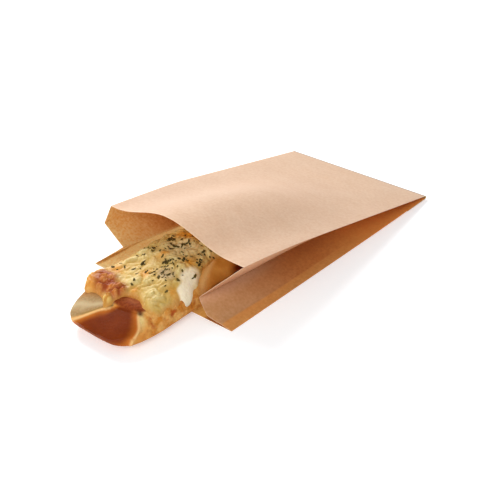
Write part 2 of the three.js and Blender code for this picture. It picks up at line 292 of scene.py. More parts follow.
def make_floor():
    half = FLOOR_SIZE / 2
    corners = [(-half, -half, 0), (half, -half, 0), (half, half, 0), (-half, half, 0)]
    floor = make_piece("floor", corners, [(0, 1, 2, 3)])
    material, tree = new_material("white_acrylic_table")
    shader = add_node(
        tree, "ShaderNodeBsdfPrincipled",
        {"Base Color": srgb("e6e6e7"), "Roughness": 0.7,
         "Emission Color": srgb("fbfdff"), "Emission Strength": TABLE_GLOW},
    )
    add_node(tree, "ShaderNodeOutputMaterial", links={"Surface": shader.outputs[0]})
    floor.data.materials.append(material)


def make_lamp(name, place, target, power):
    data = bpy.data.lights.new(name, "AREA")
    data.size = LAMP_SIZE * MM
    data.energy = power
    lamp = bpy.data.objects.new(name, data)
    bpy.context.scene.collection.objects.link(lamp)
    lamp.location = to_frame(place)
    aim = Vector(to_frame(target)) - lamp.location
    lamp.rotation_euler = aim.to_track_quat("-Z", "Y").to_euler()
    print(name, "has", power, "watts")


make_floor()
make_lamp("back_left_lamp", (-900, 500, 800), (0, 80, 20), BACK_POWER)
make_lamp("front_lamp", (300, -900, 600), (0, 0, 20), FRONT_POWER)
sky = bpy.data.worlds.new("light_tent")
sky.use_nodes = True
sky.node_tree.nodes["Background"].inputs["Color"].default_value = srgb("fffefd")
sky.node_tree.nodes["Background"].inputs["Strength"].default_value = SKY_STRENGTH
bpy.context.scene.world = sky
bpy.context.scene.view_settings.view_transform = "Standard"

# %% [markdown]
# ## The bag's folds
#
# A gusseted bag is one sheet of paper, creased into a tube: a wide back and front panel, joined at
# each side by a gusset that folds inwards. Its far end is folded under and glued. Each crease is a
# line from the mouth (0) to the folded end (1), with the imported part's numbers. At the mouth they
# stand where the roll has pushed them. A cloth simulation could push the paper open too, but it
# wouldn't come to rest at just these corners.

# %% Creases
WIDTH, LENGTH, END_STRIP = 150.0, 258.0, 29.0
CREASE_INSET = 39.0
END_TOP, END_FLOOR, LIFT_START = 3.2, 1.7, 150.0
PAPER = 0.25  # the real sheet is 0.1 mm, too thin for its cut edge to show
FOLD_RADIUS = 1.3  # the sheet turns round at the far end

KINK = np.array([64.0, 0.0, 2.0])
RIGHT_CREASE = np.array([42.0, 1.7, 15.5])
FRONT_RIGHT = np.array([75.0, 15.9, 47.4])
FRONT_LEFT = np.array([-60.0, 11.1, 53.8])
LEFT_BEND = np.array([-66.7, 8.0, 37.3])
LEFT_CREASE = np.array([-44.6, 6.0, 24.2])
ARCH_HEIGHT, ARCH_CENTRE, ARCH_INSIDE, ARCH_WIDTH = 13.7, 0.46, 0.55, 0.86
EDGE_DROOP, RIGHT_BOW, LEFT_DIP, BEND_AT = 3.5, 4.5, 2.6, 0.42
KINK_INSIDE = 65.5  # the kink's place across the bag, further in
KINK_LOW, KINK_END = 0.9, 0.6  # its height over the floor, further in and at the end

# What the roll does to the mouth dies away over these fractions of the bag's length.
KINK_FADE, KINK_SHIFT_FADE, BEND_FADE = 0.35, 0.25, 0.35
EDGE_FADE, LIFT_FADE, ARCH_FADE = 0.4, 0.3, (0.3, 0.82)
# A bow or a dip is half a wave: this many go to the bag's length. The droop ends after a third.
BOW_RATE, DIP_RATE, DROOP_RATE = 1.6, 2.2, 3.0

half_width = WIDTH / 2
front_slope = (FRONT_RIGHT[2] + EDGE_DROOP - END_TOP) / (LENGTH - FRONT_RIGHT[1])
end_middle = (END_TOP + END_FLOOR) / 2


def floor_at(y):
    return END_FLOOR * np.clip((y - LIFT_START) / (LENGTH - LIFT_START), 0, 1) ** 2


def front_height(y):
    return END_TOP + front_slope * (LENGTH - y)


def along(start, v):
    return mix(start[1], LENGTH - FOLD_RADIUS, v)


def line(x, y, z):
    return np.stack(np.broadcast_arrays(x, y, z), -1)


def back_crease(side, v):
    y = along((0, 0, 0), v)
    return line(side * half_width, y, floor_at(y) + PAPER / 2)


def kink_line(v):
    y = along(KINK, v)
    x = mix(KINK[0], KINK_INSIDE, smooth(v, 0, KINK_SHIFT_FADE))
    above = mix(mix(KINK[2], KINK_LOW, smooth(v, 0, KINK_FADE)), KINK_END, v)
    return line(x, y, floor_at(y) + above)


def right_crease(v):
    bow = RIGHT_BOW * np.sin(math.pi * np.minimum(1, v * BOW_RATE))
    x = mix(RIGHT_CREASE[0], half_width - CREASE_INSET, v) + bow
    return line(x, along(RIGHT_CREASE, v), mix(RIGHT_CREASE[2], end_middle, v))


def left_crease(v):
    dip = LEFT_DIP * np.sin(math.pi * np.minimum(1, v * DIP_RATE))
    x = mix(LEFT_CREASE[0], CREASE_INSET - half_width, v)
    return line(x, along(LEFT_CREASE, v), mix(LEFT_CREASE[2], end_middle, v) - dip)


def front_right(v):
    y = along(FRONT_RIGHT, v)
    droop = EDGE_DROOP * np.clip(1 - v * DROOP_RATE, 0, 1) ** 2
    return line(half_width, y, front_height(y) - droop)


def front_left(v):
    y = along(FRONT_LEFT, v)
    inwards = (half_width + FRONT_LEFT[0]) * np.clip(1 - v / EDGE_FADE, 0, 1) ** 1.5
    lift = FRONT_LEFT[2] - front_height(FRONT_LEFT[1])
    lift = lift * np.clip(1 - v / LIFT_FADE, 0, 1) ** 2
    return line(inwards - half_width, y, front_height(y) + lift)


def left_bend(v):
    straight = mix(front_left(v), left_crease(v), BEND_AT)
    bow = LEFT_BEND - mix(front_left(np.zeros(1)), left_crease(np.zeros(1)), BEND_AT)
    return straight + bow * fade(v, 0, BEND_FADE)[:, None]


print("the mouth's upper corners stand", FRONT_LEFT[2], "and", FRONT_RIGHT[2], "mm high")

# %% [markdown]
# ## Kraft paper
#
# Kraft paper is unbleached softwood pulp. One face has been dried against a polished cylinder, so
# it is smoother and paler, with a faint bloom under a lamp; the other is dull and shows its fibres
# in cloudy patches. Some light comes through, which is why the inside of the bag glows orange: a
# translucent shader mixed into a diffuse one gives that. The clouds of fibre are really about 1 mm;
# they are drawn twice that size, so that they show. Broad faint bands run across the sheet.

# %% Kraft paper, machine-glazed outside and rough inside
FIBRE_SIZE, FIBRE_STRETCH = 1.1, (1, 0.3, 1)  # drawn out along the bag
BAND_SIZE, BAND_STRETCH = 16.0, (0.4, 1, 1)  # and across it
CLOUD_SHARE, OTHER_SHARE = 0.5, 0.25


def kraft_paper(name, panel, tones, roughness, through, cloud):
    """panel is a pair of hex colours, for pale and dark patches of fibre, and each tone that the
    sheet carries has its own pair. through is the share of light let through."""
    material, tree = new_material(name)
    clouds = pattern(tree, cloud, 0.34, 0.66, 4.0)
    fibres = pattern(tree, FIBRE_SIZE, 0.3, 0.7, 2.0, FIBRE_STRETCH)
    bands = pattern(tree, BAND_SIZE, 0.3, 0.7, 2.0, BAND_STRETCH)
    grain = arithmetic(tree, "MULTIPLY", clouds, CLOUD_SHARE)
    for other in (fibres, bands):
        grain = arithmetic(tree, "ADD", grain, arithmetic(tree, "MULTIPLY", other, OTHER_SHARE))
    layers = [(tone, grain, *pair) for tone, pair in tones.items()]
    colour = paint_layers(tree, blend_colours(tree, grain, *panel), layers)
    bump = add_node(tree, "ShaderNodeBump", {"Strength": 0.3, "Distance": 0.2 * MM}, {"Height": grain})
    shader = add_node(
        tree, "ShaderNodeBsdfPrincipled",
        {"Roughness": roughness, "IOR": 1.5, "Specular IOR Level": 0.4,
         "Sheen Weight": 0.08, "Sheen Roughness": 0.5},
        {"Base Color": colour, "Normal": bump.outputs[0]},
    )
    glow = add_node(
        tree, "ShaderNodeBsdfTranslucent", links={"Color": colour, "Normal": bump.outputs[0]}
    )
    both = add_node(
        tree, "ShaderNodeMixShader", {0: through}, {1: shader.outputs[0], 2: glow.outputs[0]}
    )
    add_node(tree, "ShaderNodeOutputMaterial", links={"Surface": both.outputs[0]})
    return material


# Besides the panel's own colour, each tone of the outside face is painted light or shade: a darker
# shaded right gusset, darker paper further in, a lighter lower strip where it faces up, an orange glow
# at the far end, lighter paper on the gusset's upper piece and by its crease, a highlight along the
# mouth's cut edge and a grey shade along the folded end.
glazed = kraft_paper(
    "kraft_glazed_face", ("ebceb3", "deba99"),
    {"right_fold": ("deae80", "cc965e"), "deep": ("e0964e", "c47434"), "strip": ("f2b468", "de984a"),
     "far_in_glow": ("ffb45c", "f6a048"), "under_fold_light": ("ecb88e", "d8a478"), "valley_light": ("f0c49c", "e0b088"),
     "mouth_edge_highlight": ("ffe8d0", "f6d8b8"), "end_fold_shade": ("78726e", "68625e")},
    roughness=0.5, through=0.3, cloud=2.4,
)
# The inside face's tones are painted shade: darker paper further into the bag, shade on the floor under
# the roll and a shadow under the curled corner.
rough = kraft_paper(
    "kraft_rough_face", ("fff6be", "eec070"),
    {"deep": ("e8a43c", "b8680c"), "shade_under_food": ("f0c070", "d09840"),
     "shadow_under_flap": ("b47438", "9a5c26")},
    roughness=0.85, through=0.5, cloud=2.2,
)
# The cut edge's one tone is painted shade, darker further into the bag.
cut_edge = kraft_paper(
    "kraft_cut_edge", ("fbe6cf", "f0cfa8"),
    {"deep": ("f0c896", "e0b078")},
    roughness=0.8, through=0.3, cloud=2.0,
)

# %% [markdown]
# ## The sheet
#
# Between two creases the paper is a ruled surface: straight lines from one crease to the other,
# with more points than it needs, so that it can also swell, dent and cockle. Walking once round
# the bag gives one closed ring of columns, so the whole tube is a single sheet. At the mouth, the
# right gusset's lower corner has curled forwards, as a cut corner of paper does. Separate plates
# would be simpler, but light would leak in where they meet.

# %% Panels between the creases
CURL = np.array([-2.6, -3.8, 0.5])  # how far the curled corner has moved
CURL_RISE, CURL_FALL, CURL_FADE = 0.33, 0.67, 0.12  # shares of the gusset, and of the length
SWELLS = ((0.8, 55, 3.1), (0.25, 16, 7.7))  # height, width and shift, of swells and of dents


def ruled(start, end, columns):
    """Columns from one crease to the next, without the last, which the next stretch begins with."""
    steps = np.arange(columns) / columns
    return start[:, None, :] + (end - start)[:, None, :] * steps[:, None]


def front_panel(v, columns):
    """The front panel's rows: straight across, with the hump that the roll has pushed up."""
    panel = ruled(front_right(v), front_left(v), columns)
    from_left = 1 - np.arange(columns) / columns
    height = ARCH_HEIGHT * fade(v, *ARCH_FADE)
    centre = mix(ARCH_CENTRE, ARCH_INSIDE, smooth(v, 0, 0.5))
    away = np.clip(np.abs(from_left - centre[:, None]) / (ARCH_WIDTH / 2), 0, 1)
    panel[..., 2] += height[:, None] * 0.5 * (1 + np.cos(math.pi * away))
    return panel


def curled_corner(v, columns):
    """How far the right gusset's lower corner curls forwards, out of the line of the mouth."""
    steps = np.arange(columns) / columns
    across = np.minimum(steps / CURL_RISE, (1 - steps) / CURL_FALL) ** 0.8
    amount = across * fade(v, 0, CURL_FADE)[:, None]
    return amount[..., None] * CURL


def cockle(points, amount):
    """Paper never lies quite flat: broad shallow swells, with smaller dents over them."""
    moved = points.copy()
    moved[..., 2] += amount * sum(high * field(points, size, shift) for high, size, shift in SWELLS)
    return moved


# %% [markdown]
# Each point also carries tones, which the paper's materials read: which part of the bag it is on
# and how deep inside. Most tones are painted light and shade: the shaded right gusset, darker paper
# further in, a lighter strip along the floor, an orange glow at the far end, and shade under the
# roll and the curled corner. So one sheet can be bright outside, orange in its folds and brown inside.

# %% The tube and its tones
ROWS = 150
# The stretches between creases, once round the bag: how many columns each has.
STRETCHES = {
    "back": 36, "strip": 6, "right_lower": 18, "right_upper": 20, "front": 64,
    "left_upper": 9, "left_middle": 11, "left_lower": 18,
}
COCKLES, GUSSET_COCKLE = {"front": 0.9, "back": 0.0}, 0.35
END_STAYS_FLAT = 0.15  # no cockles over this last share of the length


def sheet_tones(name, points):
    """The ranges are millimetres from the mouth, or to the right of the bag's middle."""
    x, y = points[..., 0], points[..., 1]
    to_next = np.broadcast_to(np.arange(points.shape[1]) / points.shape[1], y.shape)
    on_right = name in ("strip", "right_lower", "right_upper")
    on_left = {"left_upper": smooth(to_next, 0, 0.3), "left_middle": 1}.get(name, 0)
    return {
        # Painted shade: the whole right gusset is coloured darker.
        "right_fold": 1.0 * on_right + 0 * y,
        # Painted shade: the paper darker and more orange further into the bag, on both gussets.
        "deep": smooth(y, 8, 110) * on_right + 0.9 * smooth(y, 0, 90) * on_left,
        # Painted light: the lower strip lighter and more orange where it faces up, and the rest of the
        # right gusset too towards the far end.
        "strip": smooth(y, 110, 190) * on_right if name != "strip" else 1 + 0 * y,
        # Painted glow: orange light through the paper at the far end of the right gusset.
        "far_in_glow": smooth(y, 110, 200) * on_right,
        # Painted light: the gusset's upper piece lighter near the mouth.
        "under_fold_light": (name == "right_upper") * fade(y, 30, 120),
        # Painted light over the shade along the gusset's inner crease, near the mouth.
        "valley_light": (name == "right_lower") * smooth(to_next, 0.45, 1.0) * fade(y, 30, 100),
        # Painted shade on the inside of the floor, right of the middle, under the roll.
        "shade_under_food": (name == "back") * smooth(x, 5, 30),
        # Painted shadow on the floor's inside along its right edge, under the curled corner.
        "shadow_under_flap": (name == "back") * smooth(x, 45.5, 49),
    }


def bag_columns(v):
    """The tube's points, row by row, and its tones."""
    creases = [
        back_crease(-1, v), back_crease(1, v), kink_line(v), right_crease(v), front_right(v),
        front_left(v), left_bend(v), left_crease(v), back_crease(-1, v),
    ]
    from_end = smooth(1 - v, 0.0, END_STAYS_FLAT)[:, None]
    stretches, tones = [], []
    for k, (name, columns) in enumerate(STRETCHES.items()):
        if name == "front":
            panel = front_panel(v, columns)
        else:
            panel = ruled(creases[k], creases[k + 1], columns)
        if name == "right_lower":
            panel = panel + curled_corner(v, columns)
        free = np.sin(math.pi * np.arange(columns) / columns) * from_end
        panel = cockle(panel, free * COCKLES.get(name, GUSSET_COCKLE))
        stretches.append(panel)
        tones.append(sheet_tones(name, panel))
    joined = {key: np.concatenate([tone[key] for tone in tones], 1) for key in tones[0]}
    return np.concatenate(stretches, 1), joined


# %% [markdown]
# The strip that closes the end carries on from the front panel. Two edges look unlike the panels
# beside them: the mouth's cut edge catches the light, most where the front panel turns into the
# gusset, and the folded end shows as a thin grey line. Both are painted on a few rows of the mesh:
# a painted highlight along the cut edge and a painted grey shade along the fold.

# %% The end strip, the edges and the thickness
FOLD_STEPS, STRIP_STEPS = 6, 8
STRIP_TOP = 0.75  # height of the strip under the fold
CREASE_ANGLE = math.radians(35)  # sharper bends than this show as creases
# The painted highlight's strength on the mouth's cut edge, and how much less the right gusset and the
# rest of the edge get.
EDGE_TONE, EDGE_LESS_ON_GUSSET, EDGE_LESS_AWAY = 0.6, 0.35, 0.2
# The painted grey shade along the folded end, and over how many rows round the fold.
END_GREY, END_GREY_ROWS = 0.9, 3


def end_strip(front_row):
    """The sheet from the front panel's last row, round the end fold and back under the bag."""
    angle = np.linspace(0, math.pi, FOLD_STEPS + 1)[1:]
    step = np.linspace(0, 1, STRIP_STEPS + 1)[1:]
    fold = LENGTH - FOLD_RADIUS
    down = (1 - np.cos(angle)) / 2
    round_it = line(0, fold + FOLD_RADIUS * np.sin(angle), mix(END_TOP, STRIP_TOP, down))
    under_it = line(0, mix(fold, LENGTH - END_STRIP, step), mix(STRIP_TOP, PAPER / 2, step))
    path = np.concatenate([round_it, under_it])[:, None, :]
    return line(front_row[:, 0], path[..., 1], path[..., 2])


def thicken(sheet):
    """Gives the sheet its thickness, with an inner face and a cut edge of their own materials."""
    skin = sheet.modifiers.new("paper", "SOLIDIFY")
    skin.thickness = PAPER * MM
    skin.offset = 0
    skin.material_offset = 1
    skin.material_offset_rim = 2
    for material in (glazed, rough, cut_edge):
        sheet.data.materials.append(material)
    solid = sheet.evaluated_get(bpy.context.evaluated_depsgraph_get())
    thick = bpy.data.meshes.new_from_object(solid)
    sheet.modifiers.clear()
    sheet.data = thick
    thick.set_sharp_from_angle(angle=CREASE_ANGLE)
    print("the sheet with its thickness has", len(thick.polygons), "faces")
    return sheet


def bag_values(tones, strip_shape):
    """Every tone at every point: the tube's points first, then the end strip's."""
    for name in ("mouth_edge_highlight", "end_fold_shade"):
        tones[name] = np.zeros(tones["deep"].shape)
    away = tones["under_fold_light"][0] < 0.5
    on_gusset = tones["right_fold"][0]
    # A painted highlight along the mouth's cut edge.
    tones["mouth_edge_highlight"][0] = EDGE_TONE - EDGE_LESS_ON_GUSSET * on_gusset - EDGE_LESS_AWAY * away
    # A painted grey shade along the folded end: the tube's last row here, the first rows round the fold
    # below.
    tones["end_fold_shade"][-1] = END_GREY
    nothing = np.zeros(strip_shape)
    values = {key: np.concatenate([tone.ravel(), nothing.ravel()]) for key, tone in tones.items()}
    turned = END_GREY * (np.arange(strip_shape[0]) < END_GREY_ROWS)[:, None] + nothing
    values["end_fold_shade"][-turned.size:] = turned.ravel()
    return values


def make_bag():
    tube, tones = bag_columns(np.linspace(0, 1, ROWS))
    columns = tube.shape[1]
    names = list(STRETCHES)
    first = sum(STRETCHES[name] for name in names[:names.index("front")])
    across_front = np.arange(first, first + STRETCHES["front"] + 1)
    strip = end_strip(tube[-1, across_front])
    numbers = ROWS * columns + np.arange(strip[..., 0].size).reshape(strip.shape[:2])
    numbers = np.concatenate([across_front[None, :] + (ROWS - 1) * columns, numbers])
    quads = np.stack([numbers[:-1, :-1], numbers[1:, :-1], numbers[1:, 1:], numbers[:-1, 1:]], -1)
    points = np.concatenate([tube.reshape(-1, 3), strip.reshape(-1, 3)])
    faces = np.concatenate([ring_faces(ROWS, columns), quads.reshape(-1, 4)])
    return thicken(make_piece("kraft_bag", points, faces, bag_values(tones, strip.shape[:2])))


bag = make_bag()
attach(bag, "root")
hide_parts("paper_bag")

# %% [markdown]
# ## The roll's form
#
# A long soft roll, proved and baked: nearly straight sides, a flat base where it sat on the tray,
# a domed top and blunt ends. Its cross-section is a squashed circle with a higher power, which is
# squarer than an ellipse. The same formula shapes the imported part, here with many more points.

# %% Roll sections
HALF_ROLL, HALF_LENGTH, ROLL_MIDDLE = 35.5, 90.0, 16.0
WAIST, CROWN, KEEL = 12.0, 21.3, 11.5
NOSE_OFFSET, BODY_OFFSET, TAIL_LEAN, LEAN_FROM = 6.0, 4.8, 0.045, 30.0
ROUND_TOP, FLAT_BASE = 2.6, 5.0


def roll_section(y):
    t = np.clip(np.abs(y - ROLL_MIDDLE) / HALF_LENGTH, 0, 1)
    middle = mix(NOSE_OFFSET, BODY_OFFSET, smooth(y, -70, 0)) + TAIL_LEAN * np.maximum(0, y - LEAN_FROM)
    half = HALF_ROLL * (1 - t ** 5) ** 0.2
    return middle, half, CROWN * (1 - t ** 2) ** 0.9, KEEL * (1 - t ** 6) ** (1 / 3)


def roll_top(x, y):
    middle, half, crown, _ = roll_section(y)
    across = np.clip(np.abs(x - middle) / np.maximum(half, 0.01), 0, 1)
    return WAIST + crown * (1 - across ** ROUND_TOP) ** (1 / ROUND_TOP)


print("the roll is", 2 * HALF_LENGTH, "mm long,", 2 * HALF_ROLL, "wide and", CROWN + KEEL, "high")

# %% [markdown]
# ## The nose
#
# The front end is easiest to describe from a point inside it, as on a globe: the bearing runs round
# it, from -90 at the left side to 90 at the right, and the rise goes up from the table. The smooth
# glazed face lies between a fold on the left, a lip of crust above it and a fold on the right.
# Each border is a line in these two angles, so the same lines serve the shape and the colours.

# %% Borders of the nose
NOSE_CENTRE = np.array([6.0, -30.0, 12.0])
LIP_PLACE, LIP_TURN = (18.0, -45.2), math.radians(14)
LIP_LONG, LIP_HIGH = 16.0, 5.8
LEFT_FOLD_AT, LEFT_FOLD_SLOPE = (-22, 3), (0.58, 0.81)  # bearing and rise
RIGHT_FOLD_AT, RIGHT_FOLD_BULGE = 42, 10
STANDS = {  # how far each part stands out of the roll
    "left_fold": 0.9, "right_fold": 1.1, "lip": 2.2, "lip_crease": -0.5, "plump": 2.4,
    "shaded_notch": -1.3, "hollow": -0.7,
}


def nose_angles(points):
    away = points - NOSE_CENTRE
    bearing = np.degrees(np.arctan2(away[..., 0], -away[..., 1]))
    rise = np.degrees(np.arctan2(away[..., 2], np.hypot(away[..., 0], away[..., 1])))
    return bearing, rise


def left_border(bearing, rise):
    """Degrees above the left fold, which climbs from the table's side up to the lip."""
    wave = 1.2 * np.sin(bearing / 5.0)
    across, up_it = bearing - LEFT_FOLD_AT[0], rise - LEFT_FOLD_AT[1]
    return LEFT_FOLD_SLOPE[1] * up_it - LEFT_FOLD_SLOPE[0] * across + wave


def right_border(bearing, rise):
    """Degrees to the right of the right fold, which bulges outwards half way up."""
    bulge = RIGHT_FOLD_BULGE * bell(rise - 8, 9)
    return bearing - RIGHT_FOLD_AT - bulge - RIGHT_FOLD_BULGE * smooth(rise, 8, 22)


def lip_lens(points):
    """1 at the middle of the lip and 0 at its outline, a long lens seen from above."""
    x, y = points[..., 0] - LIP_PLACE[0], points[..., 1] - LIP_PLACE[1]
    lengthwise = x * math.cos(LIP_TURN) + y * math.sin(LIP_TURN)
    across = y * math.cos(LIP_TURN) - x * math.sin(LIP_TURN)
    inside = 1 - (lengthwise / LIP_LONG) ** 2 - (across / LIP_HIGH) ** 2
    return np.clip(inside, 0, 1) * smooth(points[..., 2], WAIST, WAIST + 4), across


def nose_relief(points):
    """How far the nose stands out: its two folds, the lip, the plump cheek and what is sunk."""
    x, y = points[..., 0], points[..., 1]
    bearing, rise = nose_angles(points)
    left, right = left_border(bearing, rise), right_border(bearing, rise)
    lens, across = lip_lens(points)
    parts = {
        "left_fold": bell(left, 2.4) * fade(bearing, 4, 12) * smooth(bearing, -34, -22),
        "right_fold": bell(right, 2.2) * fade(rise, 12, 20) * smooth(rise, -14, -6),
        "lip": np.sqrt(lens),
        "lip_crease": bell(across - 1.2, 0.8) * smooth(lens, 0.05, 0.4),
        "plump": bell(bearing + 52, 24) * bell(rise - 14, 14),
        "shaded_notch": spot(x, y, (29.5, -46.5), 2.6, (1, 1.5)),
        "hollow": bell(bearing - 54, 5) * bell(rise - 12, 6),
    }
    return smooth(-y, 38, 46) * sum(STANDS[name] * part for name, part in parts.items())


# %% [markdown]
# ## The crust's surface
#
# Dough tears and blisters where it rises fastest, here along the right flank, and is softly dimpled
# elsewhere. Each point of the roll's grid is pushed outwards by that much, so that it shows in the
# outline too, which a bump in the material wouldn't.

# %% The roll's mesh
STATIONS, AROUND = 230, 190
TIP_HEIGHT = WAIST - 3
NOSE_FORWARD = 30  # near the tip the relief points forwards as well
BLISTER, PIMPLE, FURROW, DIMPLE = 5.5, 2.2, 9, 22  # sizes


def roll_points():
    angle = 2 * math.pi * np.arange(AROUND) / AROUND
    y = ROLL_MIDDLE - HALF_LENGTH * np.cos(math.pi * np.arange(1, STATIONS) / STATIONS)
    middle, half, crown, keel = (part[:, None] for part in roll_section(y))
    cosine, sine = np.cos(angle), np.sin(angle)
    power = np.where(sine >= 0, ROUND_TOP, FLAT_BASE)
    x = middle + half * np.sign(cosine) * np.abs(cosine) ** (2 / power)
    z = WAIST + np.where(sine >= 0, crown, keel) * np.sign(sine) * np.abs(sine) ** (2 / power)
    return line(x, y[:, None], z)


def on_flank(points):
    """1 on the rough, blistered part of the right flank."""
    x, y, z = np.moveaxis(points, -1, 0)
    return smooth(x, 27, 33) * smooth(y, -50, -44) * fade(y, 0, 14) * smooth(z, 3, 8)


def roll_relief(points):
    """How far the crust stands out: the nose's folds, soft dimples, and the flank's blisters."""
    blisters = 0.9 * np.maximum(0, field(points, BLISTER, 5.3)) + 0.15 * field(points, PIMPLE, 9.1)
    furrows = bell(field(points * (0.35, 1, 1), FURROW, 20.5), 0.09)
    relief = nose_relief(points) + 0.4 * field(points, DIMPLE, 1.7)
    relief += on_flank(points) * (blisters - 0.6 * furrows)
    return relief * smooth(points[..., 2], 0.6, 3)


def make_roll():
    points = roll_points()
    y = points[..., 1]
    outwards = points - line(roll_section(y)[0], y, WAIST)
    outwards[..., 1] -= NOSE_FORWARD * smooth(-(y - ROLL_MIDDLE), 60, 88)
    outwards /= np.linalg.norm(outwards, axis=-1, keepdims=True)
    points = points + outwards * roll_relief(points)[..., None]
    points[..., 2] = np.maximum(points[..., 2], WAIST - KEEL)
    ends = np.array([ROLL_MIDDLE - HALF_LENGTH, ROLL_MIDDLE + HALF_LENGTH])
    rows = STATIONS - 1
    faces = ring_faces(rows, AROUND).tolist()
    tip, tail = rows * AROUND, rows * AROUND + 1
    for k in range(AROUND):
        after = (k + 1) % AROUND
        faces.append([tip, k, after])
        faces.append([tail, (rows - 1) * AROUND + after, (rows - 1) * AROUND + k])
    every = np.concatenate([points.reshape(-1, 3), line(roll_section(ends)[0], ends, TIP_HEIGHT)])
    return make_piece("bread_crust", every, faces, crust_values(every))


# %% [markdown]
# ## Where the crust is dark and where it is pale
#
# Crust browns by how much heat and glaze it got. The nose was brushed with egg and stood proud, so
# it is dark. The cheek beside it was shaded and stayed the colour of dough, with a creamy patch and
# a tanned line by the fold. The folds are pale along their crests and the flank is golden, with
# blisters. Each of these is a value from 0 to 1 at every point, worked out from where it lies.

# %% Crust values


def crust_values(points):
    x, y, z = np.moveaxis(points, -1, 0)
    bearing, rise = nose_angles(points)
    left, right = left_border(bearing, rise), right_border(bearing, rise)
    in_front = smooth(-y, 38, 44)
    under_lip = 1 - smooth(rise, 25, 30) * fade(bearing, 50, 56)
    face = in_front * smooth(-left, -0.5, 2.0) * smooth(-right, -0.5, 1.5) * under_lip
    left_crest = bell(left, 1.5) * fade(bearing, 2, 10)
    right_crest = bell(right, 1.6) * fade(rise, 14, 22)
    cheek = in_front * smooth(left, 0.5, 3) * fade(bearing, 2, 8) * smooth(z, 3, 8)
    cheek_tan = smooth(left, 17, 27) + fade(bearing, -66, -48)
    lens, across_lip = lip_lens(points)
    lip = smooth(lens, 0.0, 0.35)
    across = (x - roll_section(y)[0]) / HALF_ROLL
    # A painted highlight: a pale streak along the right flank's upper shoulder.
    streak = bell(across - 0.99 + 0.0118 * (y - 6), 0.06) * smooth(z, 12, 15)
    far_shade = smooth(y, 36, 47) * fade(z, 19, 24)
    near_shade = 0.6 * smooth(y, 12, 22) * fade(z, 14.5, 17.5)
    return {
        "face": face,
        "dark": face * smooth(-left, 1, 9) * smooth(z, 2.5, 12) * smooth(-right, 0.5, 13),
        "folds": in_front * np.clip(left_crest + right_crest, 0, 1),
        "cheek": cheek, "cheek_tan": 0.75 * cheek * np.clip(cheek_tan, 0, 1),
        "cheek_line": cheek * bell(left - 3.2, 1.3) * smooth(bearing, -30, -18),
        "cheek_cream": cheek * bell(left - 12 + 2 * field(points, 9, 2.2), 4),
        # Painted light: the lip lighter along its top, where it faces up.
        "lip": lip, "lip_top_light": lip * smooth(across_lip, -1.5, 3),
        # Painted shade: the notch under the lip's right end is coloured almost black.
        "shaded_notch": spot(x, y, (30, -46.2), 2.4, (1, 1.4)),
        "cream": in_front * bell(bearing - 55, 5) * bell(rise - 13, 7),
        # Painted shade: the crust darker where it lies inside the bag.
        "blister": on_flank(points), "base": 0.7 * fade(z, 1.0, 4.5), "shade_inside_bag": smooth(y, 0, 30),
        # Painted highlight along the flank's shoulder.
        "shoulder_highlight": streak * smooth(y, 2, 8) * fade(y, 26, 40),
        # Painted shade: the crust under the front panel's right edge darker further in, and darkest
        # where the paper hangs close over it.
        "shade_under_paper": smooth(y, 36, 58) * smooth(x, 28, 38),
        "darkest_shade_under_paper": np.clip(far_shade + near_shade, 0, 1) * smooth(x, 35, 38),
    }


roll = make_roll()

# %% [markdown]
# ## Baked crust
#
# The finish is starch and sugar browned by heat. It is dense and a little waxy, so light goes in a
# short way and comes out warmer: a small subsurface weight does that. The egg wash on the nose makes
# it smoother and adds a thin clear coat. Real crust is never one brown, so most areas mix two, by
# soft noise of 9 mm or a grain of 1.6 mm. Freckles are 2.6 mm, and the blisters' spots 6 mm.

# %% Baked wheat crust
CRUST_ROUGHNESS, FACE_SMOOTHER, FACE_COAT = 0.66, 0.24, 0.04


